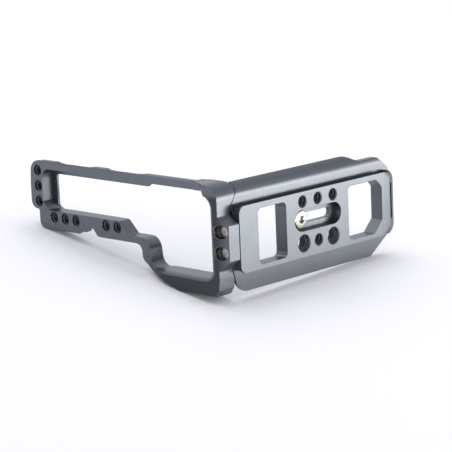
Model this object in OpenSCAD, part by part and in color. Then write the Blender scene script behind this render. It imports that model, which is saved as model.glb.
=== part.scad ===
// Two-piece L-bracket for a camera with a battery grip, in millimetres.
// It stands on its long lower edge, with +Z up, as it stands on a table.
// The modules work in a corner frame: X = 0 is the outer face of the side plate's
// arms, Y = 0 the face of the dovetail pad and Z = 0 the edge that it stands on.
// X runs along the base plate and Y along the side plate, both away from the corner.
// placed() then moves every piece so that the origin lies under the middle of the part.

/* [Base plate] */
// Length from the outer face of the side plate to the free end
base_l = 143; // [138:1:152]
// Depth of the platform that the camera stands on
base_d = 54; // [53:0.1:55]
// How far the plate's upper edge drops beyond the lip
end_drop = 5; // [4:0.1:6]
// Thickness from the face of the dovetail pad to the platform
base_t = 8.6; // [8.2:0.1:9.6]
// Height of the dovetail pad above the side rails
rail_y = 6.3; // [5.8:0.1:6.6]
// Width of the dovetail pad
pad_w = 38; // [37:0.5:39]
// Height of the pad's lower edge
pad_z = 12.2; // [11.5:0.1:13]
// Depth of the dovetail undercut under each edge of a pad
undercut = 2; // [1:0.1:2.2]
// How far the undercut runs into the free end's bevel
groove_end = 6.5; // [6:0.5:12]
// Height of the lip that stops the camera from twisting
lip_h = 2.7; // [1:0.1:3.5]
// Distance from the free end to the end of the lip's full height
lip_end = 26; // [24:0.5:40]
// Height of the long rounding along the upper edge
edge_r = 8.7; // [7:0.1:9.5]
// Height up to which the lower side face leans back
lean_z = 10.4; // [8:0.1:11]
// How far that face leans back at its foot
lean_y = 1; // [0:0.1:1.4]

/* [Free end of the base plate] */
// Upper corner chamfer, along the plate
top_cut_x = 9.5; // [8:0.5:13]
// Upper corner chamfer, up the plate
top_cut_z = 7.8; // [6:0.1:12]
// Lower corner chamfer, along the plate
low_cut_x = 16.5; // [12:0.5:20]
// Lower corner chamfer, up the plate
low_cut_z = 12.6; // [10:0.1:18]
// Width of the bevel on the end
bevel_w = 7; // [4:0.5:8]
// Depth of the bevel at the end
bevel_y = 3; // [2:0.1:5]
// Distance between each corner chamfer and the bevel inside it
bevel_side_w = 8.2; // [6:0.1:9]
// Width of the strap slot in the bevel
strap_w = 2.5; // [2:0.1:3.5]
// Height of the strap slot
strap_h = 22; // [16:1:24]
// Height of the slot's middle
strap_z = 32; // [29:0.5:33]
// Bar left between the strap slot and the end
strap_bar = 3; // [2:0.1:3.5]

/* [Windows in the base plate] */
// Distance from the side plate's outer face to the first window
window_a_x = 23.4; // [23:0.1:25]
// Width of the first window
window_a_w = 22.9; // [18:0.1:26]
// Bar left between the screw slot and the second window
window_b_slot_bar = 6.7; // [5:0.1:12]
// Bar left between the second window and the free end
window_b_bar = 13.9; // [13:0.1:16]
// Height of the windows' lower edge
window_z = 15.1; // [14.8:0.1:17]
// Height of both windows
window_h = 31.6; // [28:0.1:31.7]
// Lower corner cut of the second window
window_b_cut = 7.3; // [4:0.1:9]
// Upper corner cut of the second window
window_b_top_cut = 5; // [4:0.1:9]

/* [Screw slot and holes in the base plate] */
// Distance from the side plate's outer face to the first end centre of the screw slot
slot_x = 59.5; // [58:0.1:62]
// Distance between the slot's two end centres
slot_l = 26.8; // [20:0.1:30]
// Height of the slot's middle line
slot_z = 33.6; // [32:0.1:35]
// Width of the wide part, which takes the screw's head
slot_head_w = 12.4; // [12:0.1:13]
// Depth of the wide part
slot_head_y = 5.3; // [4.5:0.1:6]
// Width of the through part, which takes the screw's neck
slot_neck_w = 5.6; // [5.2:0.1:6]
// Radius of a 1/4"-20 thread
quarter_r = 3.175; // [3:0.025:3.3]
// Radius of a 3/8"-16 thread
three_eighths_r = 4.763; // [4.5:0.1:5]
// Height of the row of three small threaded holes
upper_row_z = 44.5; // [43.6:0.1:44.7]
// Spacing along that row
upper_row_step = 12.9; // [11:0.1:14]
// Height of the lower row, one small hole between two large ones
lower_row_z = 20.4; // [19.5:0.1:21]
// Spacing along the lower row
lower_row_step = 12.5; // [11:0.1:13.5]

/* [Side plate] */
// Length of the side plate from the face of the dovetail pad
side_l = 164; // [160:1:170]
// Height of the side plate, which is that of the whole bracket
side_h = 63.2; // [63:0.1:64]
// Thickness of the arms
arm_t = 8.6; // [8:0.1:10]
// Inner face near the corner, against which the camera stands
contact_x = 10.4; // [10:0.1:11.5]
// How far the corner stands out past the arms' outer face
corner_out = 5; // [3:0.1:6]
// Distance along the plate to the ridge of the corner
ridge_y = 14.4; // [13:0.1:16]
// Distance along the plate at which the upper arm has come back to the outer face
flare_y = 28; // [24:0.5:34]
// Height of the side dovetail's lower edge
arm_z = 22.5; // [21:0.1:23.5]
// Height of the lower arm's upper edge
arm_top_z = 34; // [33.9:0.1:35]
// Height of the upper arm
beam_h = 4.7; // [4.2:0.1:5.7]
// Width of the bar at the far end, beside the opening
end_bar = 10.5; // [10:0.1:12]
// Height of the lower beam beside the corner
low_beam_h = 10.4; // [8:0.1:12]
// Thickness of the corner post, measured along the plate
post_y = 10.9; // [10.5:0.1:12]

/* [Rim inside the opening] */
// How far the rim stands into the opening at its end
rim_end_w = 3.5; // [2:0.1:5]
// How far the rim stands into the opening under the upper arm
rim_top_w = 4; // [2:0.1:5]
// Distance along the plate at which the rim starts
rim_start = 71; // [60:1:90]

/* [Threaded holes in the side plate] */
// Distance from the far end to the column of three holes
column_in = 6.6; // [6.2:0.1:7]
// Depth of the column's middle hole below the upper edge
column_drop = 15.2; // [14.2:0.1:16.2]
// Spacing of the column
column_step = 9.3; // [8:0.1:9.5]
// Height of the row along the lower arm
row_z = 30; // [29:0.1:30.2]
// Distance from the corner to the first hole of the row
row_y = 90; // [90:0.1:92]
// Spacing of the row
row_step = 9.5; // [8:0.1:9.6]
// Distance from the first hole of the row to its second group
row_gap = 35.5; // [34:0.1:37]

/* [Joint between the plates] */
// Distance from the outer face to the end of the side plate's foot
seam_x = 8.1; // [7.5:0.1:8.5]
// Gap left open along the seam
seam_gap = 0.5; // [0.3:0.05:0.8]
// Reach of the ear that hooks over the base plate's upper corner
ear_x = 13; // [11:0.1:14]
// Reach of the foot at its lower end
heel_x = 9.6; // [9:0.1:11]
// Lower edge of the boss between the seam's two shoulders
boss_z = 20.5; // [19.5:0.1:20.7]
// Height of the boss
boss_h = 20.7; // [20.5:0.1:22]
// Height of the lower joint screw
joint_z = 25.2; // [25:0.1:25.6]
// Spacing of the joint screws
joint_step = 12; // [10:0.1:12]
// Depth of the joint screws' axes behind the pad's face
joint_y = 4.75; // [4.5:0.05:5]
// Depth of their heads' seat behind the outer face
joint_seat = 4.5; // [4:0.1:5]
// Distance outside the outer face at which the chamfer of the seat's mouth starts
joint_mouth = 1.9; // [1.5:0.1:3]
// Radius of an M4 thread
joint_r = 2; // [1.5:0.1:2.2]
// Length of the joint screws under the head
joint_l = 16; // [12:1:17]
// Radius of the joint screws' heads
joint_head_r = 3.5; // [3:0.1:3.6]
// Height of the joint screws' heads
joint_head_h = 2.8; // [2.6:0.1:4]
// Size of their hexagon socket, across its corners
joint_hex = 2.89; // [2.5:0.01:4]
// Depth of that socket
joint_hex_x = 2; // [1:0.1:2.2]

/* [Camera screw] */
// Distance of the screw from the slot's first end centre, as it stands
screw_at = 2; // [0:0.1:26]
// Radius of the head
head_r = 5.3; // [4.8:0.1:5.6]
// Height of the head
head_h = 2.5; // [2:0.1:3]
// Radius of the neck, which slides in the slot
neck_r = 2.4; // [2.2:0.05:2.5]
// How far the tip stands out of the platform
tip_out = 5; // [4:0.1:6]
// Size of the hexagon socket, across its corners
screw_hex = 4.62; // [3:0.01:5]
// Depth of that socket
screw_hex_y = 2; // [1:0.1:2.2]
// Width of the coin slot, which lies along the screw slot as the screw stands
coin_w = 1.8; // [1:0.1:2.2]
// Depth of the coin slot
coin_y = 1; // [0.5:0.1:1.4]
// Thickness of the washer under the head
washer_t = 0.5; // [0.3:0.05:0.8]

/* [Hidden] */
$fn = 48;

// Running and assembly clearances
thread_gap = 0.05;
shank_gap = 0.2;
counterbore_gap = 0.25;
washer_gap = 0.08;
washer_in = 0.1;
thread_gap_y = 0.6;
// How far a cut runs past the face that it opens
past = 1;
// Largest turn between two points of a rounded outline, in degrees
arc_step = 7.5;

// The pad's square edge above the undercut, and the small chamfer on the arms
land = 0.6;
edge_cut = 0.6;

// Corner radii of the outlines
seam_r = 3;
ear_r = 3.5;
heel_r = 4;
base_low_r = 11;
base_end_r = 3;
lip_end_r = 14;
lip_slope = 9;
pad_r = 4.5;
pad_cut = [4, 5.4];
window_r = 3;
small_r = 1.5;
nose_r = 4.8;
top_r = 6.8;
ridge_r = 12;

// Rise of the slanted edges above and below the boss
shoulder_up = 3.8;
shoulder_down = 5.2;

// Heights at which the seam bends at the heel, and depths below the upper edge at the ear
heel_z = 9;
straight_z0 = 14;
straight_drop = 13.4;
ear_drop = 5.9;

// Underside of the lower beam: where it rises, its bulge and the bend into the lower arm
rise_y = 33;
rise_r = 60;
bulge = [61.5, 9.1];
bulge_top = [69.3, 14];
bend_out_y = 70;
bend_r = 4;
// Upper side of the beam: elbow, knee and the ramp up to the arm
elbow_y = 60.8;
elbow_r = 6.5;
knee_y = 62.6;
knee_z = 26.7;
knee_r = 7.5;
ramp_y = 80.5;
ramp_l = 7.5;
// The corner's outward bulge runs along the beam and blends back between these places
blend_y0 = 45;
blend_y1 = 68;
// Notch in the lower arm's edge: both ends of its mouth and of its floor
notch = [[106.5, 110.5], [118, 122.3]];
notch_h = 4.6;
// Nose at the far end, and the metal that it leaves under the column's lowest hole
column_foot = 4.7;
nose_in = 6.7;
nose_tilt = 1;
nose_h = 14;
// Corner of the opening at the post
post_low_r = 4.5;
post_top_r = 9;
opening_r = 6;
opening_cut = 5;
// The ear keeps its reach up to here, and comes back to the upper arm over this length
ear_y = 18.5;
thin_y = 6;
// The lower beam comes back from the camera's contact plane to the arm between these places
step_y = [50, 56];
// Bevel along the foot of the lower beam, and the bevel at its toe
foot_cut = [3.8, 1.1];
toe = [10.6, 3.9];
// Edge of the arms behind the side dovetail, and the relief cuts in it
back_drop = 1;
relief = [[70, 82, 100.6, 103.3], [114, 123, 143.3, 146]];
relief_h = 1.6;
side_groove_y0 = 27;
side_groove_end = 5;
// Seat of the joint inside the seam
seat_in_y = 1.2;
seat_in_z = 1;
// Rim behind the opening
rim_over = 2.5;
rim_low = 31;
rim_r = 2.8;

// Depths and places that follow from the sizes above
lip_y = base_t + lip_h;
edge_c = [rail_y + edge_r, side_h - edge_r];
lip_a = 180 - acos((edge_c[0] - lip_y) / edge_r);
lip_top = edge_c[1] + edge_r * sin(lip_a);
base_x = seam_x + seam_gap;
pad_top = pad_z + pad_w;
screw_x = slot_x + screw_at;
window_b_x1 = base_l - window_b_bar;
window_b_x0 = slot_x + slot_l + slot_head_w / 2 + window_b_slot_bar;
window_top = window_z + window_h;
opening_y1 = side_l - end_bar;
low_cut_a = atan2(low_cut_x, low_cut_z);
top_cut_a = atan2(top_cut_x, top_cut_z);
column_y = side_l - column_in;
column_z = side_h - column_drop;
nose_z = column_z - column_step - column_foot;
beam_z = side_h - beam_h;
end_h = side_h - end_drop;
straight_z1 = side_h - straight_drop;
ear_z = side_h - ear_drop;
holes_x = slot_x + slot_l / 2;
centre = [(base_l - corner_out) / 2, side_l / 2];
aluminium = "#6b7178";
steel = "#c9c7c0";
nylon = "#2a2b2d";

// Outlines: each corner is [x, y, radius], and rounded() puts an arc in each
function unit(v) = v / norm(v);
function flat(p) = [p[0], p[1]];
function corner(a, b, c, r) =
    let (u = unit(a - b),
         v = unit(c - b),
         half = acos(u * v) / 2,
         mid = b + unit(u + v) * r / sin(half),
         start = b + u * r / tan(half) - mid,
         side = cross(b - a, c - b) > 0 ? 1 : -1,
         turn = side * (180 - 2 * half),
         n = ceil(abs(turn) / arc_step),
         a0 = atan2(start[1], start[0]))
    [for (i = [0:n]) mid + r * [cos(a0 + turn * i / n), sin(a0 + turn * i / n)]];
function rounded(p) =
    let (n = len(p))
    [for (i = [0:n - 1])
        each p[i][2] > 0
            ? corner(flat(p[(i + n - 1) % n]), flat(p[i]), flat(p[(i + 1) % n]), p[i][2])
            : [flat(p[i])]];
function arc(mid, r, a0, a1) =
    let (n = ceil(abs(a1 - a0) / arc_step))
    [for (i = [0:n]) mid + r * [cos(a0 + (a1 - a0) * i / n), sin(a0 + (a1 - a0) * i / n)]];

module along_x(x0, x1) {
    translate([x0, 0, 0]) rotate([90, 0, 90]) linear_extrude(height = x1 - x0) children();
}

module along_y(y0, y1) {
    translate([0, y1, 0]) rotate([90, 0, 0]) linear_extrude(height = y1 - y0) children();
}

module along_z(z0, z1) {
    translate([0, 0, z0]) linear_extrude(height = z1 - z0) children();
}

module hole_x(x0, x1, y, z, r) {
    translate([x0, y, z]) rotate([0, 90, 0]) cylinder(h = x1 - x0, r = r);
}

module hole_y(y0, y1, x, z, r) {
    translate([x, y0, z]) rotate([-90, 0, 0]) cylinder(h = y1 - y0, r = r);
}

module placed() {
    translate([-centre[0], -centre[1], 0]) children();
}

// The line along which foot and base plate meet, as the foot's outline has it
function seam_bends(shift) = [
    [heel_x + shift, heel_z, seam_r],
    [seam_x + shift, straight_z0, seam_r],
    [seam_x + shift, straight_z1, seam_r],
    [ear_x + shift, ear_z, seam_r]];

// Outline of the base plate, seen square to the pad
function base_outline() =
    let (ear_mid = [ear_x - ear_r, side_h - ear_r],
         round_ear = ear_r + seam_gap,
         ear_a = asin((lip_top - ear_mid[1]) / round_ear))
    concat(
        rounded(concat(
            [[ear_x + seam_gap, ear_mid[1], 0]],
            [for (i = [3:-1:1]) seam_bends(seam_gap)[i]],
            [[base_x + (heel_x - seam_x) * straight_z0 / (straight_z0 - heel_z), 0, base_low_r],
             [base_l - low_cut_x, 0, base_end_r],
             [base_l, low_cut_z, base_end_r],
             [base_l, end_h - top_cut_z, base_end_r],
             [base_l - top_cut_x, end_h, heel_r],
             [base_l - lip_end, end_h, lip_end_r],
             [base_l - lip_end - lip_slope, lip_top, lip_end_r],
             [ear_mid[0] + round_ear * cos(ear_a), lip_top, 0]])),
        [for (p = arc(ear_mid, round_ear, ear_a, 0)) if (p[1] < lip_top && p[1] > ear_mid[1]) p]);

// Section across the base plate behind the pad: lower rail, platform, lip and rounding
function slab_section() = concat(
    [[rail_y + lean_y, 0], [base_t, 0], [base_t, base_d], [lip_y, base_d]],
    arc(edge_c, edge_r, lip_a, 180),
    [[rail_y, lean_z]]);

// Section of the undercut along the pad's upper edge
function undercut_section() = [
    [land, pad_top + past], [land, pad_top],
    [land + undercut, pad_top - undercut], [rail_y, pad_top - undercut],
    [rail_y, pad_top + past]];

module pad_undercuts() {
    along_x(0, base_l - groove_end) {
        polygon(undercut_section());
        translate([0, 2 * pad_z + pad_w]) mirror([0, 1]) polygon(undercut_section());
    }
}

// A flat cut that leans into the plate from the line through (x, z), turned by a
module bevel_cut(x, z, a) {
    reach = bevel_w + 3 * past;
    translate([x, 0, z]) rotate([0, a, 0]) along_z(-base_l, base_l)
        polygon([[0, 0], [reach, reach * bevel_y / bevel_w], [reach, -past], [-past, -past]]);
}

module end_bevels() {
    bevel_cut(base_l - bevel_w, pad_z, 0);
    intersection() {
        along_z(pad_z - past, pad_z + pad_w / 2) translate([base_l / 2, -past]) square(base_l);
        translate([-bevel_side_w * sin(90 - low_cut_a), 0, bevel_side_w * cos(90 - low_cut_a)])
            bevel_cut(base_l - low_cut_x, 0, low_cut_a);
    }
    intersection() {
        along_z(pad_top - pad_w / 2, pad_top + past) translate([base_l / 2, -past]) square(base_l);
        translate([-bevel_side_w * sin(90 - top_cut_a), 0, -bevel_side_w * cos(90 - top_cut_a)])
            bevel_cut(base_l, end_h - top_cut_z, -top_cut_a);
    }
}

module windows() {
    along_y(-past, lip_y + past) {
        polygon(rounded([
            [window_a_x, window_z, window_r], [window_a_x + window_a_w, window_z, window_r],
            [window_a_x + window_a_w, window_top, window_r], [window_a_x, window_top, window_r]]));
        polygon(rounded([
            [window_b_x0, window_z, window_r], [window_b_x1 - window_b_cut, window_z, small_r],
            [window_b_x1, window_z + window_b_cut, small_r],
            [window_b_x1, window_top - window_b_top_cut, small_r],
            [window_b_x1 - window_b_top_cut, window_top, small_r], [window_b_x0, window_top, window_r]]));
    }
}

module strap_slot() {
    r = strap_w / 2;
    x = base_l - strap_bar - r;
    z0 = strap_z - strap_h / 2 + r;
    z1 = z0 + strap_h - strap_w;
    hole_y(-past, lip_y, x, z0, r);
    hole_y(-past, lip_y, x, z1, r);
    along_y(-past, lip_y) translate([x - r, z0]) square([strap_w, z1 - z0]);
}

// One part of the screw slot, from depth y0 to y1
module slot_cut(y0, y1, w) {
    hole_y(y0, y1, slot_x, slot_z, w / 2);
    hole_y(y0, y1, slot_x + slot_l, slot_z, w / 2);
    along_y(y0, y1) translate([slot_x, slot_z - w / 2]) square([slot_l, w]);
}

// The neck's way is narrower than the thread, which enters through a tapped end
module screw_slot() {
    slot_cut(-past, slot_head_y, slot_head_w);
    slot_cut(-past, base_t + past, slot_neck_w);
    hole_y(-past, base_t + past, slot_x, slot_z, quarter_r);
}

module base_threads() {
    for (i = [-1:1]) {
        hole_y(-past, base_t + past, holes_x + i * upper_row_step, upper_row_z, quarter_r);
        hole_y(-past, base_t + past, holes_x + i * lower_row_step, lower_row_z,
               i == 0 ? quarter_r : three_eighths_r);
    }
    for (i = [0:1])
        hole_x(0, joint_seat + joint_l + past, joint_y, joint_z + i * joint_step, joint_r);
}

module base_plate() {
    color(aluminium) placed() difference() {
        intersection() {
            along_y(-past, lip_y + past) polygon(base_outline());
            union() {
                along_x(0, base_l + past) polygon(slab_section());
                along_y(0, (rail_y + base_t) / 2) polygon(rounded([
                    [base_x, pad_z, pad_r],
                    [base_l - pad_cut[0], pad_z, base_end_r],
                    [base_l, pad_z + pad_cut[1], base_end_r],
                    [base_l, pad_top - pad_cut[1], base_end_r],
                    [base_l - pad_cut[0], pad_top, base_end_r],
                    [base_x, pad_top, pad_r]]));
            }
        }
        pad_undercuts();
        end_bevels();
        windows();
        strap_slot();
        screw_slot();
        base_threads();
    }
}

// Outline of the side plate, seen square to its arms, without the opening
function side_outline() = concat(
    rounded([
        [rail_y, edge_c[1], 0],
        [rail_y, boss_z + boss_h + shoulder_up, small_r],
        [0, boss_z + boss_h, small_r],
        [0, boss_z, small_r],
        [rail_y, boss_z - shoulder_down, small_r],
        [rail_y, lean_z, 0],
        [rail_y + lean_y * (1 - toe[1] / lean_z), toe[1], small_r],
        [toe[0], 0, 0],
        [rise_y, 0, rise_r],
        [bulge[0], bulge[1], elbow_r],
        [bulge_top[0], bulge_top[1], bend_r],
        [bend_out_y, arm_z, bend_r],
        [notch[0][0], arm_z, seam_r],
        [notch[0][1], arm_z + notch_h, small_r],
        [notch[1][0], arm_z + notch_h, seam_r],
        [notch[1][1], arm_z, seam_r],
        [side_l - nose_in, arm_z, nose_r],
        [side_l - nose_in, nose_z, small_r],
        [side_l, nose_z, nose_r],
        [side_l, nose_z + nose_h, 0],
        [side_l - nose_tilt, side_h, top_r],
        [edge_c[0], side_h, 0]]),
    [for (p = arc(edge_c, edge_r, 90, 180)) if (p[0] < edge_c[0] && p[0] > rail_y) p]);

function opening_outline() = rounded([
    [post_y, beam_z, post_top_r],
    [post_y, low_beam_h, post_low_r],
    [elbow_y, low_beam_h, elbow_r],
    [knee_y, knee_z, knee_r],
    [ramp_y, knee_z, small_r],
    [ramp_y + ramp_l, arm_top_z, small_r],
    [opening_y1 - opening_cut, arm_top_z, small_r],
    [opening_y1, arm_top_z + opening_cut, small_r],
    [opening_y1, beam_z, opening_r]]);

// Plan of the ridge's rounding along the lower beam, down to the facet that leads to the seam
function ridge_arc() = corner([-corner_out, blend_y0], [-corner_out, ridge_y], [0, 0], ridge_r);

// Plan of the upper arm: ridge, hollow sweep back to the outer face, and the arm
function upper_plan() =
    let (r = (corner_out * corner_out + (flare_y - ridge_y) * (flare_y - ridge_y)) / (2 * corner_out),
         facet = ridge_arc())
    concat(
        [[0, 0], [contact_x, 0], [contact_x, ear_y], [arm_t, ear_y + thin_y], [arm_t, side_l + past],
         [0, side_l + past]],
        arc([-r, flare_y], r, 0, -asin((flare_y - ridge_y) / r)),
        [facet[len(facet) - 1]]);

// Plan of the lower beam: it stands out at the corner and blends back to the arm
function lower_plan() = concat(
    [[0, 0], [contact_x, 0], [contact_x, step_y[0]], [arm_t, step_y[1]], [arm_t, side_l + past],
     [0, side_l + past]],
    [for (t = [1:-0.1:0])
        [-corner_out * (1 + cos(180 * t)) / 2, blend_y0 + (blend_y1 - blend_y0) * t]],
    ridge_arc());

module arms() {
    mid = (arm_top_z + beam_z) / 2;
    difference() {
        union() {
            along_z(0, mid) polygon(lower_plan());
            along_z(mid, side_h) polygon(upper_plan());
        }
        along_y(-past, base_t + seam_gap)
            translate([seam_x, -past]) square([2 * contact_x, side_h + 2 * past]);
    }
}

// The foot behind the seam, with its heel and its ear, and its raised seat
module foot() {
    intersection() {
        along_y(0, ear_y + thin_y) polygon(rounded(concat(
            [[0, 0, 0], [heel_x, 0, heel_r]], seam_bends(0), [[ear_x, side_h, ear_r], [0, side_h, 0]])));
        union() {
            along_y(0, base_t + seam_gap) square([2 * ear_x, side_h]);
            along_z(ear_z - 3 * seam_r, side_h) polygon([
                [0, 0], [ear_x, 0], [ear_x, ear_y], [arm_t, ear_y + thin_y], [0, ear_y + thin_y]]);
        }
    }
    along_x(seam_x - past, seam_x + seam_gap) translate([seat_in_y, boss_z + seat_in_z])
        square([base_t - 2 * seat_in_y, boss_h - 2 * seat_in_z]);
}

// Cuts that shape both edges of the side dovetail
module side_undercuts() {
    back = arm_t - land - undercut;
    module groove() {
        polygon([[land, -past], [land, 0], [land + undercut, undercut], [back - undercut, undercut],
                 [back, 0], [back, -past]]);
    }
    translate([0, side_l - side_groove_end, arm_z]) rotate([90, 0, 0])
        linear_extrude(height = side_l - side_groove_end - bend_out_y - bend_r) groove();
    translate([0, side_l - side_groove_end, side_h]) rotate([90, 0, 0])
        linear_extrude(height = side_l - side_groove_end - side_groove_y0) mirror([0, 1]) groove();
    translate([back - undercut, side_groove_y0, side_h - back_drop])
        cube([2 * contact_x, side_l, 2 * back_drop]);
    for (c = relief)
        along_x(back - undercut, contact_x + past) polygon([
            [c[0], side_h], [c[0], side_h - back_drop], [c[1], side_h - back_drop - relief_h],
            [c[2], side_h - back_drop - relief_h], [c[3], side_h - back_drop], [c[3], side_h]]);
    for (e = [[arm_z, bend_out_y + bend_r], [side_h, side_groove_y0]])
        translate([0, e[1], e[0]]) rotate([0, 45, 0])
            translate([-edge_cut * sqrt(0.5), 0, -edge_cut * sqrt(0.5)])
                cube([2 * edge_cut * sqrt(0.5), side_l, 2 * edge_cut * sqrt(0.5)]);
}

module rim() {
    y1 = opening_y1 - rim_end_w;
    z1 = beam_z - rim_top_w;
    along_x(arm_t, contact_x) polygon(rounded([
        [rim_start - rim_top_w, beam_z, 0], [rim_start, z1, small_r], [y1, z1, small_r],
        [y1, arm_top_z, rim_r], [y1 - seam_r, arm_top_z, 0],
        [y1 - seam_r, rim_low, 0], [opening_y1 + rim_over, rim_low, small_r],
        [opening_y1 + rim_over, beam_z + rim_over, small_r],
        [rim_start - rim_top_w, beam_z + rim_over, 0]]));
}

module side_threads() {
    for (i = [-1:1]) {
        hole_x(-past, contact_x + past, column_y, column_z + i * column_step, quarter_r);
        hole_x(-past, contact_x + past, row_y + row_gap + (i + 1) * row_step, row_z, quarter_r);
    }
    for (i = [0:1])
        hole_x(-past, contact_x + past, row_y + i * row_step, row_z, quarter_r);
}

// Bevel under the lower beam, along its outer face and along the facet beside the ridge
module foot_bevel() {
    for (a = [0, -atan2(corner_out, ridge_y)])
        translate([-corner_out, ridge_y, 0]) rotate([0, 0, a]) along_y(-2 * ridge_y, side_l)
            polygon([[-past, foot_cut[1] * (1 + past / foot_cut[0])], [foot_cut[0], 0],
                     [foot_cut[0], -past], [-past, -past]]);
}

// Counterbores for the screws' heads. Their chamfer is coaxial, so on the slanted facet
// it only shows on the side away from the seam.
module joint_seats() {
    r = joint_head_r + counterbore_gap;
    for (i = [0:1]) {
        z = joint_z + i * joint_step;
        hole_x(-corner_out - past, joint_seat, joint_y, z, r);
        translate([-joint_mouth, joint_y, z]) rotate([0, -90, 0])
            cylinder(h = corner_out, r1 = r, r2 = r + corner_out);
        hole_x(0, base_x + past, joint_y, z, joint_r + shank_gap);
    }
}

module side_plate() {
    color(aluminium) placed() difference() {
        union() {
            intersection() {
                along_x(-corner_out - past, ear_x + past) difference() {
                    polygon(side_outline());
                    polygon(opening_outline());
                }
                union() {
                    arms();
                    foot();
                }
            }
            rim();
        }
        side_undercuts();
        side_threads();
        joint_seats();
        foot_bevel();
    }
}

// Socket-head screw that pulls the foot against the end of the base plate
module joint_screw(z) {
    color(steel) placed() translate([joint_seat, joint_y, z]) rotate([0, 90, 0]) difference() {
        union() {
            translate([0, 0, -joint_head_h]) cylinder(h = joint_head_h, r = joint_head_r);
            cylinder(h = joint_l, r = joint_r - thread_gap);
        }
        translate([0, 0, -joint_head_h - past])
            cylinder(h = joint_hex_x + past, r = joint_hex / 2, $fn = 6);
    }
}

module lower_joint_screw() {
    joint_screw(joint_z);
}

module upper_joint_screw() {
    joint_screw(joint_z + joint_step);
}

// 1/4"-20 screw that holds the camera: head, relieved neck and threaded tip
module camera_screw() {
    face = slot_head_y - washer_t - head_h;
    thread_y = base_t + thread_gap_y;
    tip_y = base_t + tip_out;
    tip_cut = 0.8;
    color(steel) placed() translate([screw_x, 0, slot_z]) rotate([-90, 0, 0]) difference() {
        rotate_extrude() polygon([
            [0, face], [head_r - edge_cut, face], [head_r, face + edge_cut],
            [head_r, face + head_h], [neck_r, face + head_h], [neck_r, thread_y],
            [quarter_r, thread_y + quarter_r - neck_r], [quarter_r, tip_y - tip_cut],
            [quarter_r - tip_cut, tip_y], [0, tip_y]]);
        translate([0, 0, face - past])
            cylinder(h = screw_hex_y + past, r = screw_hex / 2, $fn = 6);
        translate([-head_r - past, -coin_w / 2, face - past])
            cube([2 * (head_r + past), coin_w, coin_y + past]);
    }
}

// Thin washer between the screw's head and the floor of its slot
module camera_screw_washer() {
    color(nylon) placed() translate([screw_x, slot_head_y - washer_t, slot_z]) rotate([-90, 0, 0])
        difference() {
            cylinder(h = washer_t, r = head_r - washer_in);
            translate([0, 0, -past]) cylinder(h = washer_t + 2 * past, r = neck_r + washer_gap);
        }
}

base_plate();
side_plate();
lower_joint_screw();
upper_joint_screw();
camera_screw();
camera_screw_washer();
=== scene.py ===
import math

import bmesh
import bpy
from mathutils import Matrix, Vector
from mathutils.bvhtree import BVHTree


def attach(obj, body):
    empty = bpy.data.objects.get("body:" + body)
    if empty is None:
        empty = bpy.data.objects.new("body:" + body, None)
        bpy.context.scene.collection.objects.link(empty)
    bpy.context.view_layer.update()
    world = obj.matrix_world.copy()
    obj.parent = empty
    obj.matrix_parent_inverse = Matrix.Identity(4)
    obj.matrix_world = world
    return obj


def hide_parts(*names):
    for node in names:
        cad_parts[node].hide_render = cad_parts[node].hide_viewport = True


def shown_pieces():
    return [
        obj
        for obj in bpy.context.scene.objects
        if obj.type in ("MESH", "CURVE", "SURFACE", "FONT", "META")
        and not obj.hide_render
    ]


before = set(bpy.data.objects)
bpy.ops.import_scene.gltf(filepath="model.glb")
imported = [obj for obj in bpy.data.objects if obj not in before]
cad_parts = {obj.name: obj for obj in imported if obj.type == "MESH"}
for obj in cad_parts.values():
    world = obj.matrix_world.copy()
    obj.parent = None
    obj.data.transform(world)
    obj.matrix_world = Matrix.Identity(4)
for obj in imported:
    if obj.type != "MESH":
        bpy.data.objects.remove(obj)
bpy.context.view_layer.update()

# The base plate, which the camera stands on: milled from a block of aluminium, its edges broken
# by hand, blasted with glass beads and anodised titanium grey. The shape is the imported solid's,
# with the edges broken and the threaded holes countersunk. Lengths are in millimetres.
MM = 0.001
ORIGIN = Vector((69, 82, 0))
QUARTER = {"radius": 3.175, "pitch": 25.4 / 20}
THREE_EIGHTHS = {"radius": 4.763, "pitch": 25.4 / 16}
ROW_MIDDLE = 72.9
UPPER_ROW = {"z": 44.5, "step": 12.9}
LOWER_ROW = {"z": 20.4, "step": 12.5}
BROKEN_EDGE = 0.3
COUNTERSINK = 0.7
ON_WALL = 0.05
WALL = 0.5
SEAM = 0.5
SHARP = math.radians(50)
SMOOTH = math.radians(35)
FLAT = math.radians(0.5)
WELD = 0.01
FAULT = {"sliver": 0.002, "folded": 0.5, "away": 1.2 * BROKEN_EDGE, "above": 0.02, "reach": 0.8}
MOST_ATTEMPTS = 16
TITANIUM_DYE = "#6e7378"
TITANIUM_DYE_DEEP_AND_CORNER_EDGE_SHADE = "#666b70"
# Painted shade: the darker colour painted on the sculpted corner.
CORNER_PAINTED_SHADE = "#424549"
# Painted shade: the near-black colour painted on the edges along the seam.
SEAM_PAINTED_SHADE = "#1b1c1e"
# Painted shade: the near-black colour painted on the walls inside the holes.
HOLE_PAINTED_SHADE = "#2c2f32"
# Where the corner's painted shade begins and ends, in X and in Z.
CORNER_SIDE = {"outer": -2.5, "inner": 0.3}
CORNER_TOP = {"lower": 55, "upper": 58}
DYE_PATCH = 14
# The beads' dimples and the cutter's traces are drawn coarser than real ones, so that they show.
DIMPLE = {"size": 0.5, "depth": 0.006}
MILLING = {"step": 0.3, "length": 9, "contrast": 0.07, "sheen": 0.04}
# Between which values a face's direction, or a noise, comes to count.
FORWARD = {"From Min": -0.85, "From Max": -0.5}
UPWARDS = {"From Min": 0.1, "From Max": 0.4}
NOISE_MIDDLE = {"From Min": 0.3, "From Max": 0.7}


def at(x, y, z):
    """Millimetres from the corner of the bracket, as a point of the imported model."""
    return (Vector((x, y, z)) - ORIGIN) * MM


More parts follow.
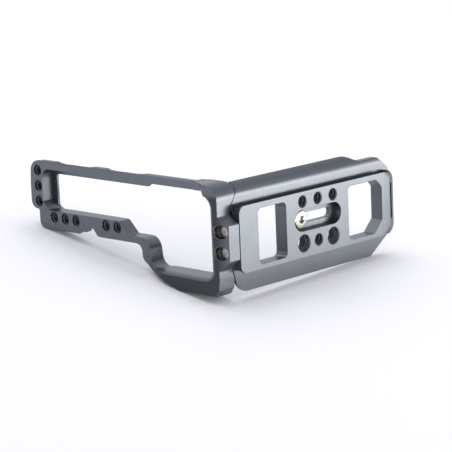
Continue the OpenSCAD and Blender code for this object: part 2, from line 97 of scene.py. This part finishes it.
def linear(colour):
    """The linear RGBA of an sRGB hex colour."""
    parts = [int(colour[i:i + 2], 16) / 255 for i in (1, 3, 5)]
    return [p / 12.92 if p <= 0.04045 else ((p + 0.055) / 1.055) ** 2.4 for p in parts] + [1]


def add(tree, kind, inputs=None, **settings):
    """Adds a node to a tree, with its settings and its values or links."""
    made = tree.nodes.new(kind)
    for name, value in settings.items():
        setattr(made, name, value)
    for socket, value in (inputs or {}).items():
        if isinstance(value, bpy.types.NodeSocket):
            tree.links.new(value, made.inputs[socket])
        else:
            made.inputs[socket].default_value = value
    return made


def new_material(name):
    """An empty material and its tree."""
    made = bpy.data.materials.new(name)
    made.use_nodes = True
    made.node_tree.nodes.clear()
    return made, made.node_tree


def anodised(name, colour, deep, corner, roughness):
    """Bead-blasted anodised aluminium: a soft metal sheen with fine dimples, the cutter's traces
    showing faintly through it, an uneven dye, and a darker painted shade on the sculpted corner."""
    made, tree = new_material(name)
    place = add(tree, "ShaderNodeTexCoord").outputs["Object"]
    where = add(tree, "ShaderNodeSeparateXYZ", {"Vector": place})
    normal = add(tree, "ShaderNodeNewGeometry").outputs["Normal"]
    facing = add(tree, "ShaderNodeSeparateXYZ", {"Vector": normal})
    patches = add(tree, "ShaderNodeTexNoise", {
        "Vector": place, "Scale": 1 / (DYE_PATCH * MM), "Detail": 3, "Roughness": 0.5})
    dye = add(tree, "ShaderNodeMix", {
        "Factor": patches.outputs["Fac"], "A": linear(deep), "B": linear(colour)}, data_type="RGBA")

    # A painted shade: the corner is painted darker where it stands out past the side plate's face,
    # below the ear, but not on the faces that look forward
    sculpted = add(tree, "ShaderNodeMapRange", {
        "Value": where.outputs["X"], "From Min": at(CORNER_SIDE["outer"], 0, 0).x,
        "From Max": at(CORNER_SIDE["inner"], 0, 0).x, "To Min": 1, "To Max": 0})
    below = add(tree, "ShaderNodeMapRange", {
        "Value": where.outputs["Z"], "From Min": at(0, 0, CORNER_TOP["lower"]).z,
        "From Max": at(0, 0, CORNER_TOP["upper"]).z, "To Min": 1, "To Max": 0})
    aside = add(tree, "ShaderNodeMapRange", {"Value": facing.outputs["Y"], **FORWARD})
    dark = add(tree, "ShaderNodeMath", {
        0: sculpted.outputs["Result"], 1: below.outputs["Result"]}, operation="MULTIPLY")
    dark = add(tree, "ShaderNodeMath", {
        0: dark.outputs["Value"], 1: aside.outputs["Result"]}, operation="MULTIPLY")
    body = add(tree, "ShaderNodeMix", {
        "Factor": dark.outputs["Value"], "A": dye.outputs["Result"], "B": linear(corner)},
        data_type="RGBA")

    # The cutter runs up and down the upright faces and along the ones that face upwards
    fine, long = 1 / (MILLING["step"] * MM), 1 / (MILLING["length"] * MM)
    runs = []
    for scale in ((fine, fine, long), (long, fine, fine)):
        drawn = add(tree, "ShaderNodeVectorMath", {0: place, 1: scale}, operation="MULTIPLY")
        noise = add(tree, "ShaderNodeTexNoise", {
            "Vector": drawn.outputs["Vector"], "Scale": 1, "Detail": 2, "Roughness": 0.6})
        runs.append(noise.outputs["Fac"])
    upwards = add(tree, "ShaderNodeMapRange", {"Value": facing.outputs["Z"], **UPWARDS})
    traces = add(tree, "ShaderNodeMix", {
        "Factor": upwards.outputs["Result"], "A": runs[0], "B": runs[1]}).outputs["Result"]
    tone = add(tree, "ShaderNodeMapRange", {
        "Value": traces, "To Min": 1 - MILLING["contrast"], "To Max": 1 + MILLING["contrast"],
        **NOISE_MIDDLE})
    milled = add(tree, "ShaderNodeVectorMath", {
        0: body.outputs["Result"], "Scale": tone.outputs["Result"]}, operation="SCALE")
    sheen = add(tree, "ShaderNodeMapRange", {
        "Value": traces, "To Min": roughness - MILLING["sheen"], "To Max": roughness + MILLING["sheen"],
        **NOISE_MIDDLE})
    dimples = add(tree, "ShaderNodeTexNoise", {
        "Vector": place, "Scale": 1 / (DIMPLE["size"] * MM), "Detail": 2, "Roughness": 0.6})
    bump = add(tree, "ShaderNodeBump", {
        "Height": dimples.outputs["Fac"], "Distance": DIMPLE["depth"] * MM, "Strength": 1})
    skin = add(tree, "ShaderNodeBsdfPrincipled", {
        "Base Color": milled.outputs["Vector"], "Metallic": 1, "Roughness": sheen.outputs["Result"],
        "Normal": bump.outputs["Normal"]})
    add(tree, "ShaderNodeOutputMaterial", {"Surface": skin.outputs["BSDF"]})
    return made


def piece(name, mesh, *materials):
    """Links a mesh to the scene as a piece with its materials."""
    made = bpy.data.objects.new(name, mesh)
    bpy.context.scene.collection.objects.link(made)
    for m in materials:
        mesh.materials.append(m)
    return made


def solid(node):
    """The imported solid, with the triangles of each flat face joined."""
    bm = bmesh.new()
    bm.from_mesh(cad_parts[node].data)
    bmesh.ops.remove_doubles(bm, verts=bm.verts, dist=WELD * MM)
    bmesh.ops.dissolve_degenerate(bm, dist=WELD * MM, edges=bm.edges)
    bmesh.ops.dissolve_limit(bm, angle_limit=FLAT, verts=bm.verts, edges=bm.edges, delimit={"NORMAL"})
    bm.normal_update()
    return bm


def is_sharp(edge):
    """Whether two faces meet in an edge at a sharp angle."""
    return edge.is_valid and edge.is_manifold and edge.calc_face_angle() > SHARP


def sharp_edges(bm):
    """The edges that a file would break."""
    return [e for e in bm.edges if is_sharp(e) and e.is_convex]


def faults(bm, before):
    """Places where a broken edge folds over itself or leaves the plate's surface."""
    places = set()
    for tri in bm.calc_loop_triangles():
        a, b, c = [loop.vert.co for loop in tri]
        across = (b - a).cross(c - a)
        large = across.length / 2 > FAULT["sliver"] * MM ** 2
        if large and across.normalized().dot(tri[0].face.normal) < FAULT["folded"]:
            places.add(((a + b + c) / 3).to_tuple(4))
    for v in bm.verts:
        spot, out, _, away = before.find_nearest(v.co)
        if away > FAULT["away"] * MM or (v.co - spot).dot(out) > FAULT["above"] * MM:
            places.add(v.co.to_tuple(4))
    return places


def bevel(bm, edges, width, segments):
    """Breaks edges; the new faces take the second material."""
    bmesh.ops.bevel(bm, geom=edges, offset=width * MM, offset_type="WIDTH", segments=segments,
                    profile=0.5, affect="EDGES", clamp_overlap=False, loop_slide=False, material=1)
    bm.normal_update()


def on_wall(element, axis, holes):
    """Whether an edge or a face lies on the wall of one of the holes along an axis."""
    u, v = [i for i in range(3) if i != axis]
    points = [vert.co / MM + ORIGIN for vert in element.verts]
    return any(
        all(abs(math.hypot(p[u] - middle[0], p[v] - middle[1]) - size["radius"]) < ON_WALL
            for p in points)
        for middle, size in holes)


def finished(name, node, neighbour, plate, axis, holes, *materials):
    """A plate with its edges broken, which stands for a node. The second material is theirs, the
    third theirs along the seam to the neighbour, a painted shade, and the fourth that of the
    holes' walls, also a painted shade. Round a fault the edges are left sharp, in a wider reach
    each time it comes back."""
    reach = {}
    other = solid(neighbour)
    beside = BVHTree.FromBMesh(other)
    other.free()
    before = BVHTree.FromBMesh(plate)
    for _ in range(MOST_ATTEMPTS):
        bm = plate.copy()
        edges = [e for e in sharp_edges(bm) if not any(
            (Vector(spot) - v.co).length < far for v in e.verts for spot, far in reach.items())]
        bevel(bm, [e for e in edges if on_wall(e, axis, holes)], COUNTERSINK, 1)
        bevel(bm, [e for e in edges if is_sharp(e)], BROKEN_EDGE, 2)
        found = faults(bm, before)
        if not found:
            break
        for spot in found:
            reach[spot] = reach.get(spot, 0) + FAULT["reach"] * MM
    for face in bm.faces:
        # Edges along the seam take the painted seam shade, and the holes' walls the holes' painted
        # shade.
        if face.material_index == 1 and beside.find_nearest(face.calc_center_median(), SEAM * MM)[0]:
            face.material_index = 2
        if abs(face.normal[axis]) < WALL and on_wall(face, axis, holes):
            face.material_index = 3
    mesh = bpy.data.meshes.new(name)
    bm.to_mesh(mesh)
    mesh.polygons.foreach_set("use_smooth", [True] * len(mesh.polygons))
    mesh.set_sharp_from_angle(angle=SMOOTH)
    made = piece(name, mesh, *materials)
    made.modifiers.new("weighted_normals", "WEIGHTED_NORMAL").keep_sharp = True
    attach(made, "bracket")
    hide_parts(node)
    return made


# The blasted faces look soft and grey, with a darker painted shade on the sculpted corner, and
# the broken edges glint a little more sharply. The seam and the drilled walls are painted almost
# black, a painted shade for the little light that gets into gaps.
blasted_aluminium = anodised("bead_blasted_anodised_aluminium_painted_corner_shade", TITANIUM_DYE, TITANIUM_DYE_DEEP_AND_CORNER_EDGE_SHADE,
                             CORNER_PAINTED_SHADE, roughness=0.36)
# On the corner, the broken edges take the deeper dye as their painted shade.
edge_aluminium = anodised("anodised_aluminium_broken_edge", TITANIUM_DYE, TITANIUM_DYE_DEEP_AND_CORNER_EDGE_SHADE,
                          TITANIUM_DYE_DEEP_AND_CORNER_EDGE_SHADE, roughness=0.3)
seam_painted_shade_aluminium = anodised("anodised_aluminium_painted_seam_shade", SEAM_PAINTED_SHADE, SEAM_PAINTED_SHADE, SEAM_PAINTED_SHADE,
                          roughness=0.5)
drilled_aluminium_painted_shade = anodised("drilled_anodised_aluminium_painted_shade", HOLE_PAINTED_SHADE, HOLE_PAINTED_SHADE, HOLE_PAINTED_SHADE,
                             roughness=0.4)
base_holes = []
for i in (-1, 0, 1):
    base_holes.append(((ROW_MIDDLE + i * UPPER_ROW["step"], UPPER_ROW["z"]), QUARTER))
    base_holes.append(((ROW_MIDDLE + i * LOWER_ROW["step"], LOWER_ROW["z"]),
                       THREE_EIGHTHS if i else QUARTER))
finished("base_plate_finished", "base_plate", "side_plate", solid("base_plate"), 1, base_holes,
         blasted_aluminium, edge_aluminium, seam_painted_shade_aluminium, drilled_aluminium_painted_shade)

# The six tapped holes in the base plate. The taps leave 1/4"-20 and 3/8"-16 threads, smoother
# than the blasted faces, so that thin glints run along their ridges; their darker colour is a
# painted shade of the holes' insides.
BASE_T = 8.6
RIDGE = {"in": 0.5, "steps": 36, "depth": 0.541, "foot": 0.44, "sunk": 0.04, "crest": 0.125,
         "spread": 0.3}
# Painted shade: the dark colour painted on the threads inside the holes.
THREAD_PAINTED_SHADE = "#4d5256"


def tapped(bm, start, along, length, size):
    """A helical ridge on the wall of a drilled hole. It fades in and out at its ends, where the
    crest sinks and spreads."""
    along = Vector(along)
    side = along.orthogonal().normalized()
    across = along.cross(side)
    radius, pitch = size["radius"], size["pitch"]
    turns = (length - 2 * RIDGE["in"] - pitch) / pitch
    count = int(turns * RIDGE["steps"])
    rings = []
    for i in range(count + 1):
        turn = turns * i / count
        height = RIDGE["in"] + pitch / 2 + turn * pitch
        fade = min(1, 2 * turn, 2 * (turns - turn))
        out = side * math.cos(2 * math.pi * turn) + across * math.sin(2 * math.pi * turn)
        crest = RIDGE["crest"] + RIDGE["spread"] * (1 - fade)
        depth = RIDGE["depth"] * pitch * fade
        section = [(-RIDGE["foot"], RIDGE["sunk"]), (-crest, -depth), (crest, -depth),
                   (RIDGE["foot"], RIDGE["sunk"])]
        rings.append([
            bm.verts.new(at(*(Vector(start) + along * (height + u * pitch) + out * (radius + r))))
            for u, r in section])
    for a, b in zip(rings, rings[1:]):
        for i in range(4):
            bm.faces.new((a[i], a[(i + 1) % 4], b[(i + 1) % 4], b[i]))
    bm.faces.new(rings[0][::-1])
    bm.faces.new(rings[-1])


def mesh_of(bm, name):
    """Turns a bmesh into a mesh, smooth but for its sharp edges."""
    bmesh.ops.recalc_face_normals(bm, faces=bm.faces)
    mesh = bpy.data.meshes.new(name)
    bm.to_mesh(mesh)
    bm.free()
    mesh.polygons.foreach_set("use_smooth", [True] * len(mesh.polygons))
    mesh.set_sharp_from_angle(angle=SMOOTH)
    return mesh


tapped_aluminium_painted_shade = anodised("tapped_anodised_aluminium_painted_shade", THREAD_PAINTED_SHADE, THREAD_PAINTED_SHADE, THREAD_PAINTED_SHADE,
                            roughness=0.22)
bm = bmesh.new()
for (x, z), size in base_holes:
    tapped(bm, (x, 0, z), (0, 1, 0), BASE_T, size)
base_threads = piece("base_plate_threads", mesh_of(bm, "base_plate_threads"), tapped_aluminium_painted_shade)
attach(base_threads, "bracket")

# The side plate, milled, blasted and anodised as the base plate is, with the opening for the
# camera's ports and a dovetail along both edges. The opening's edge at the corner is rounded
# over with a larger cutter, so that it doesn't press on the hand.
PORT_EDGE_R = 1.3
PORT_EDGE = {"low": at(-6, 10, 9), "high": at(-0.3, 52, 58.6)}
PORT_EDGE_STEP = 0.5
PORT_EDGE_FADE = 4
PORT_EDGE_LEAST = 0.1
LOOKS_OUT = -0.7
LOOKS_ASIDE = -0.3
ARC_STEPS = 6
COLUMN = {"y": 157.4, "z": 48, "step": 9.3}
ROW = {"y": 90, "z": 30, "step": 9.5, "gap": 35.5}
JOINT = {"y": 4.75, "z": 25.2, "step": 12, "seat": 4.5, "mouth_r": 5.2, "head_r": 3.5,
         "head_h": 2.8, "chamfer": 0.45, "rim": 0.1, "fillet": 0.2, "thread": 4, "length": 16,
         "socket_r": 1.445, "socket": 2, "socket_edge": 0.15}
COUNTERBORE_WALL = 0.9
COUNTERBORE_DYE = "#5c5d5e"


def port_edge(bm):
    """The line along which the opening meets the corner's outer face, with both normals."""
    line = {}
    for e in sharp_edges(bm):
        inside = all(PORT_EDGE["low"][i] < v.co[i] < PORT_EDGE["high"][i]
                     for v in e.verts for i in range(3))
        face, wall = sorted(e.link_faces, key=lambda f: f.normal.x)
        if inside and face.normal.x < LOOKS_OUT and wall.normal.x > LOOKS_ASIDE:
            for v, other in (e.verts, reversed(e.verts)):
                line.setdefault(v, []).append((other, face.normal, wall.normal))
    v = min((v for v in line if len(line[v]) == 1), key=lambda v: v.co.z)
    points = []
    seen = set()
    while v:
        seen.add(v)
        face = sum((n for _, n, _ in line[v]), Vector()).normalized()
        wall = sum((n for _, _, n in line[v]), Vector()).normalized()
        points.append((v.co.copy(), face, wall))
        v = next((other for other, _, _ in line[v] if other not in seen), None)
    return points


def rounding_cutter(points, radius):
    """A closed skin round what a cutter takes off along an edge; it fades out at both ends."""
    kept = [points[0]]
    for p in points[1:]:
        if (p[0] - kept[-1][0]).length > PORT_EDGE_STEP * MM:
            kept.append(p)
    along = [0]
    for a, b in zip(kept, kept[1:]):
        along.append(along[-1] + (b[0] - a[0]).length / MM)
    bm = bmesh.new()
    rings = []
    for (spot, face, wall), far in zip(kept, along):
        full = min(1, far / PORT_EDGE_FADE, (along[-1] - far) / PORT_EDGE_FADE)
        r = radius * MM * max(PORT_EDGE_LEAST, full)
        middle = spot - (face + wall) * r / (1 + face.dot(wall))
        arc = [middle + r * face.slerp(wall, i / ARC_STEPS) for i in range(ARC_STEPS + 1)]
        outside = [arc[-1] + wall * MM, spot + (face + wall) * MM, arc[0] + face * MM]
        rings.append([bm.verts.new(p) for p in arc + outside])
    n = len(rings[0])
    for a, b in zip(rings, rings[1:]):
        for i in range(n):
            bm.faces.new((a[i], a[(i + 1) % n], b[(i + 1) % n], b[i]))
    bm.faces.new(rings[0][::-1])
    bm.faces.new(rings[-1])
    bmesh.ops.recalc_face_normals(bm, faces=bm.faces)
    for face in bm.faces:
        face.material_index = 1
    mesh = bpy.data.meshes.new("cutter")
    bm.to_mesh(mesh)
    bm.free()
    return piece("cutter", mesh, blasted_aluminium, edge_aluminium)


def cut_off(made, cutter):
    """Takes a cutter's shape off a piece and clears the cutter away."""
    cut = made.modifiers.new("cut", "BOOLEAN")
    cut.object = cutter
    cut.solver = "EXACT"
    shape = made.evaluated_get(bpy.context.evaluated_depsgraph_get())
    made.data = bpy.data.meshes.new_from_object(shape)
    made.modifiers.clear()
    bpy.data.objects.remove(cutter)


plate = solid("side_plate")
cutter = rounding_cutter(port_edge(plate), PORT_EDGE_R)
blank_mesh = bpy.data.meshes.new("side_plate_blank")
plate.to_mesh(blank_mesh)
plate.free()
blank = piece("side_plate_blank", blank_mesh, blasted_aluminium, edge_aluminium)
cut_off(blank, cutter)
plate = bmesh.new()
plate.from_mesh(blank.data)
bpy.data.objects.remove(blank)
bmesh.ops.remove_doubles(plate, verts=plate.verts, dist=WELD * MM)
bmesh.ops.dissolve_degenerate(plate, dist=WELD * MM, edges=plate.edges)
plate.normal_update()
for face in plate.faces:
    p = face.calc_center_median() / MM + ORIGIN
    away = min(math.hypot(p.y - JOINT["y"], p.z - JOINT["z"] - i * JOINT["step"]) for i in (0, 1))
    in_counterbore = away < JOINT["mouth_r"] and p.x < JOINT["seat"]
    if in_counterbore and abs(face.normal.x) < COUNTERBORE_WALL:
        face.material_index = 4
side_holes = []
for i in (-1, 0, 1):
    side_holes.append(((COLUMN["y"], COLUMN["z"] + i * COLUMN["step"]), QUARTER))
    side_holes.append(((ROW["y"] + ROW["gap"] + (i + 1) * ROW["step"], ROW["z"]), QUARTER))
for i in (0, 1):
    side_holes.append(((ROW["y"] + i * ROW["step"], ROW["z"]), QUARTER))

# The counterbores' walls, the fifth material, are milled and not blasted: a smoother, slightly
# darker grey.
milled_aluminium = anodised("milled_anodised_aluminium", COUNTERBORE_DYE, COUNTERBORE_DYE,
                            COUNTERBORE_DYE, roughness=0.25)
finished("side_plate_finished", "side_plate", "base_plate", plate, 0, side_holes,
         blasted_aluminium, edge_aluminium, seam_painted_shade_aluminium, drilled_aluminium_painted_shade, milled_aluminium)

# The eight tapped holes along the end and the lower arm of the side plate, all 1/4"-20, tapped
# and anodised as those in the base plate, with the same painted shade.
ARM_T = 8.6
bm = bmesh.new()
for (y, z), size in side_holes:
    tapped(bm, (0, y, z), (1, 0, 0), ARM_T, size)
side_threads = piece("side_plate_threads", mesh_of(bm, "side_plate_threads"), tapped_aluminium_painted_shade)
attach(side_threads, "bracket")

# The two M4 screws that pull the foot of the side plate against the end of the base plate.
# They are stainless steel, with a low cylindrical head, a 2.5 mm hexagon socket and a rolled
# thread, with a soft sheen; their pale colour is partly the steel's and partly painted light on
# heads sunk in their counterbores.
M4 = {"radius": 1.95, "pitch": 0.7}
AROUND = 72
BULGE = 0.3
ROLLED = {"steps": 8, "depth": 0.61, "flank": 2.4, "tip": 0.6}
# The tool's marks are drawn coarser than real ones, so that they show.
STEEL_MARKS = {"size": 0.8, "depth": 0.004, "sheen": 0.06}
# Partly painted light: a paler steel than the camera screw's, to light heads deep in their
# counterbores.
JOINT_SCREW_STEEL_WITH_PAINTED_LIGHT = "#efeae0"


def turned(bm, rings, start, along):
    """Joins rings of (height, radius) into a closed skin; a radius may depend on the angle."""
    along = Vector(along)
    side = along.orthogonal().normalized()
    across = along.cross(side)
    start = Vector(start)
    loops = []
    for height, radius in rings:
        loop = []
        for i in range(AROUND):
            angle = 2 * math.pi * i / AROUND
            r = radius(angle) if callable(radius) else radius
            out = side * math.cos(angle) + across * math.sin(angle)
            loop.append(bm.verts.new(at(*(start + along * height + out * r))))
        loops.append(loop)
    for a, b in zip(loops, loops[1:]):
        for i in range(AROUND):
            bm.faces.new((a[i], a[i - 1], b[i - 1], b[i]))
    bm.faces.new(loops[0])
    bm.faces.new(loops[-1][::-1])


def hexagon(corner_r):
    """The radius of a hexagon at an angle."""
    def radius(angle):
        return corner_r * math.cos(math.pi / 6) / math.cos(angle % (math.pi / 3) - math.pi / 6)
    return radius


def head_rings(size, face, shank_r):
    """Rings of a head from the floor of its hexagon socket, over a slightly rounded chamfer, to
    the shank."""
    under = face + size["head_h"]
    head_r, cut = size["head_r"], size["chamfer"]
    return [
        (face + size["socket"], hexagon(size["socket_r"])),
        (face + size["socket_edge"], hexagon(size["socket_r"])),
        (face, hexagon(size["socket_r"] + size["socket_edge"])),
        (face, head_r - cut),
        (face + cut * BULGE, head_r - cut * BULGE),
        (face + cut, head_r),
        (under - size["rim"], head_r),
        (under, head_r - size["rim"]),
        (under, shank_r + size["fillet"]),
        (under + size["fillet"], shank_r)]


def rolled(start, end, size, tip=ROLLED["tip"]):
    """Rings of a rolled thread from one height to another, with a chamfered tip."""
    count = int((end - start) / size["pitch"] * ROLLED["steps"])
    rings = []
    for i in range(count + 1):
        height = start + (end - start) * i / count

        def radius(angle, height=height):
            phase = (height / size["pitch"] - angle / (2 * math.pi)) % 1
            groove = max(0, 1 - abs(phase - 0.5) * ROLLED["flank"]) * ROLLED["depth"] * size["pitch"]
            return min(size["radius"] - groove, size["radius"] - tip + max(0, end - height))
        rings.append((height, radius))
    return rings


def turned_steel(name, colour, roughness):
    """Stainless steel as turned: a bright metal with faint marks of the tool."""
    made, tree = new_material(name)
    place = add(tree, "ShaderNodeTexCoord").outputs["Object"]
    marks = add(tree, "ShaderNodeTexNoise", {
        "Vector": place, "Scale": 1 / (STEEL_MARKS["size"] * MM), "Detail": 2})
    sheen = add(tree, "ShaderNodeMapRange", {
        "Value": marks.outputs["Fac"], "To Min": roughness - STEEL_MARKS["sheen"],
        "To Max": roughness + STEEL_MARKS["sheen"]})
    bump = add(tree, "ShaderNodeBump", {
        "Height": marks.outputs["Fac"], "Distance": STEEL_MARKS["depth"] * MM})
    skin = add(tree, "ShaderNodeBsdfPrincipled", {
        "Base Color": linear(colour), "Metallic": 1, "Roughness": sheen.outputs["Result"],
        "Normal": bump.outputs["Normal"]})
    add(tree, "ShaderNodeOutputMaterial", {"Surface": skin.outputs["BSDF"]})
    return made


rolled_steel = turned_steel("rolled_stainless_steel_painted_light", JOINT_SCREW_STEEL_WITH_PAINTED_LIGHT, roughness=0.42)
for name, lift in (("lower_joint_screw", 0), ("upper_joint_screw", 1)):
    bm = bmesh.new()
    rings = head_rings(JOINT, -JOINT["head_h"], M4["radius"])
    rings += rolled(JOINT["thread"], JOINT["length"], M4)
    turned(bm, rings, (JOINT["seat"], JOINT["y"], JOINT["z"] + lift * JOINT["step"]), (1, 0, 0))
    screw = piece(name + "_turned", mesh_of(bm, name + "_turned"), rolled_steel)
    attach(screw, "bracket")
    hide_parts(name)

# The screw that holds the camera, with a hexagon socket and a coin slot in its head, a relieved
# neck that keeps it captive in the slot, and a 1/4"-20 tip. It is turned from stainless steel
# and gives a darker, sharper sheen than the joint screws.
SCREW = {"x": 61.5, "z": 33.6, "face": 2.3, "head_r": 5.3, "head_h": 2.5, "chamfer": 0.6,
         "rim": 0.2, "fillet": 0.3, "neck_r": 2.4, "thread": 9.2, "run_in": 0.4, "end": 13.6,
         "tip": 0.8, "socket_r": 2.31, "socket": 2, "socket_edge": 0.2, "coin_w": 1.8, "coin": 1}
CAMERA_SCREW_STEEL = "#aeaca4"
s = SCREW
bm = bmesh.new()
rings = head_rings(s, s["face"], s["neck_r"]) + [(s["thread"], s["neck_r"])]
rings += rolled(s["thread"] + s["run_in"], s["end"], QUARTER, s["tip"])
turned(bm, rings, (s["x"], 0, s["z"]), (0, 1, 0))
stainless_steel = turned_steel("turned_stainless_steel", CAMERA_SCREW_STEEL, roughness=0.26)
head = piece("camera_screw_turned", mesh_of(bm, "camera_screw_turned"), stainless_steel)
blade = bmesh.new()
bmesh.ops.create_cube(blade, size=1, matrix=Matrix.LocRotScale(
    at(s["x"], s["face"] + s["coin"] - 1, s["z"]), None,
    Vector((3 * s["head_r"], 2, s["coin_w"])) * MM))
cut_off(head, piece("coin_slot_cutter", mesh_of(blade, "coin_slot_cutter")))
head.data.set_sharp_from_angle(angle=SMOOTH)
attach(head, "camera_screw")
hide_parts("camera_screw")

# The washer between the screw's head and the floor of its slot, punched from black nylon sheet.
WASHER = {"y": 4.8, "t": 0.5, "r": 5.2, "hole_r": 2.48, "edge": 0.1}
NYLON_DYE = {"light": "#303134", "dark": "#232426"}
NYLON_IOR = 1.53
# The mottle is drawn coarser than the real sheet's.
MOTTLE = {"size": 0.6, "depth": 0.01}


def nylon(name):
    """Black nylon: matt and not quite black, with a faint mottle from the sheet's skin."""
    made, tree = new_material(name)
    place = add(tree, "ShaderNodeTexCoord").outputs["Object"]
    mottle = add(tree, "ShaderNodeTexNoise", {
        "Vector": place, "Scale": 1 / (MOTTLE["size"] * MM), "Detail": 2})
    tone = add(tree, "ShaderNodeMix", {
        "Factor": mottle.outputs["Fac"], "A": linear(NYLON_DYE["dark"]),
        "B": linear(NYLON_DYE["light"])}, data_type="RGBA")
    bump = add(tree, "ShaderNodeBump", {
        "Height": mottle.outputs["Fac"], "Distance": MOTTLE["depth"] * MM})
    skin = add(tree, "ShaderNodeBsdfPrincipled", {
        "Base Color": tone.outputs["Result"], "Roughness": 0.5, "IOR": NYLON_IOR,
        "Normal": bump.outputs["Normal"]})
    add(tree, "ShaderNodeOutputMaterial", {"Surface": skin.outputs["BSDF"]})
    return made


w = WASHER
bm = bmesh.new()
loops = []
for height, radius in ((0, w["hole_r"]), (0, w["r"] - w["edge"]), (w["edge"], w["r"]),
                       (w["t"] - w["edge"], w["r"]), (w["t"], w["r"] - w["edge"]),
                       (w["t"], w["hole_r"])):
    loops.append([bm.verts.new(at(s["x"] + radius * math.sin(2 * math.pi * i / AROUND),
                                  w["y"] + height,
                                  s["z"] + radius * math.cos(2 * math.pi * i / AROUND)))
                  for i in range(AROUND)])
for a, b in zip(loops, loops[1:] + loops[:1]):
    for i in range(AROUND):
        bm.faces.new((a[i], a[i - 1], b[i - 1], b[i]))
washer = piece("camera_screw_washer_punched", mesh_of(bm, "camera_screw_washer_punched"),
               nylon("black_nylon"))
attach(washer, "washer")
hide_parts("camera_screw_washer")

# The round white table. The bracket rests on it leaning back on three points: the underside of
# the lower beam, the far end of the lower arm and the far lower corner of the base plate.
TABLE_R = 0.95
TABLE_SIDES = 96
TABLE_WHITE = "#fbfcfc"
UNDER_THE_BRACKET = at(40, 40, 20)
hull = bmesh.new()
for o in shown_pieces():
    hull.from_mesh(o.data)
bmesh.ops.convex_hull(hull, input=hull.verts, use_existing_faces=False)
spot, up, _, _ = BVHTree.FromBMesh(hull).ray_cast(UNDER_THE_BRACKET, Vector((0, 0, -1)))
up = up if up.z > 0 else -up
hull.free()
turn = up.to_track_quat("Z", "Y")
table_mesh = bpy.data.meshes.new("table")
table_mesh.from_pydata(
    [spot + turn @ Vector((TABLE_R * math.cos(2 * math.pi * i / TABLE_SIDES),
                           TABLE_R * math.sin(2 * math.pi * i / TABLE_SIDES), 0))
     for i in range(TABLE_SIDES)], [], [range(TABLE_SIDES)])
# Matt white from above, and clear to a camera below it.
table_white, tree = new_material("white_table")
skin = add(tree, "ShaderNodeBsdfPrincipled", {
    "Base Color": linear(TABLE_WHITE), "Roughness": 0.9, "Specular IOR Level": 0.2})
clear = add(tree, "ShaderNodeBsdfTransparent")
behind = add(tree, "ShaderNodeNewGeometry")
both = add(tree, "ShaderNodeMixShader", {
    0: behind.outputs["Backfacing"], 1: skin.outputs["BSDF"], 2: clear.outputs["BSDF"]})
add(tree, "ShaderNodeOutputMaterial", {"Surface": both.outputs["Shader"]})
piece("table", table_mesh, table_white)

# Soft studio light: a large softbox overhead and a little behind, and a low one to the right
# of the camera, which the dovetail pad mirrors.


def softbox(name, place, width, height, radiance, colour="#ffffff"):
    """A rectangular area lamp that faces the bracket; the radiance is that of a white wall at 1."""
    lamp = bpy.data.lights.new(name, "AREA")
    lamp.shape = "RECTANGLE"
    lamp.size = width
    lamp.size_y = height
    lamp.energy = radiance * math.pi * width * height
    lamp.color = linear(colour)[:3]
    made = bpy.data.objects.new(name, lamp)
    made.location = Vector(place)
    made.rotation_mode = "QUATERNION"
    made.rotation_quaternion = Vector(place).to_track_quat("Z", "Y")
    bpy.context.scene.collection.objects.link(made)


softbox("overhead_softbox", (0.1, 0.3, 1.3), width=1.5, height=1.5, radiance=1.2)
softbox("low_right_softbox", (0.49, -0.87, -0.045), width=0.9, height=0.16, radiance=12,
        colour="#fffbf4")

# The room is white low down and a little darker and cooler overhead.
ROOM = ((0.05, "#fcfdfc"), (0.5, "#d8d7e3"))
world = bpy.data.worlds.new("studio")
bpy.context.scene.world = world
world.use_nodes = True
tree = world.node_tree
tree.nodes.clear()
sky = add(tree, "ShaderNodeTexCoord").outputs["Generated"]
height = add(tree, "ShaderNodeVectorMath", {0: sky, 1: up}, operation="DOT_PRODUCT")
ramp = add(tree, "ShaderNodeValToRGB", {"Fac": height.outputs["Value"]})
for element, (stop, colour) in zip(ramp.color_ramp.elements, ROOM):
    element.position = stop
    element.color = linear(colour)
room = add(tree, "ShaderNodeBackground", {"Color": ramp.outputs["Color"], "Strength": 1})
add(tree, "ShaderNodeOutputWorld", {"Surface": room.outputs["Background"]})
bpy.context.scene.view_settings.view_transform = "Standard"

# The camera stands a metre away in front of the corner, turned a little against the bracket.
CAMERA = {"x": -775.65, "y": -763.67, "z": 264.09, "azimuth": 45.372, "down": 11.573,
          "roll": -2.472, "lens": 163.25}
c = CAMERA
azimuth, down, roll = [math.radians(c[k]) for k in ("azimuth", "down", "roll")]
forward = Vector((math.cos(down) * math.sin(azimuth), math.cos(down) * math.cos(azimuth),
                  -math.sin(down)))
right = forward.cross(Vector((0, 0, 1))).normalized()
upward = right.cross(forward)
right, upward = (math.cos(roll) * right + math.sin(roll) * upward,
                 math.cos(roll) * upward - math.sin(roll) * right)
camera = bpy.data.objects.new("camera", bpy.data.cameras.new("camera"))
camera.data.lens = c["lens"]
camera.data.clip_start = 0.01
camera.matrix_world = Matrix.Translation(at(c["x"], c["y"], c["z"])) @ Matrix(
    (right, upward, -forward)).transposed().to_4x4()
bpy.context.scene.collection.objects.link(camera)
bpy.context.scene.camera = camera
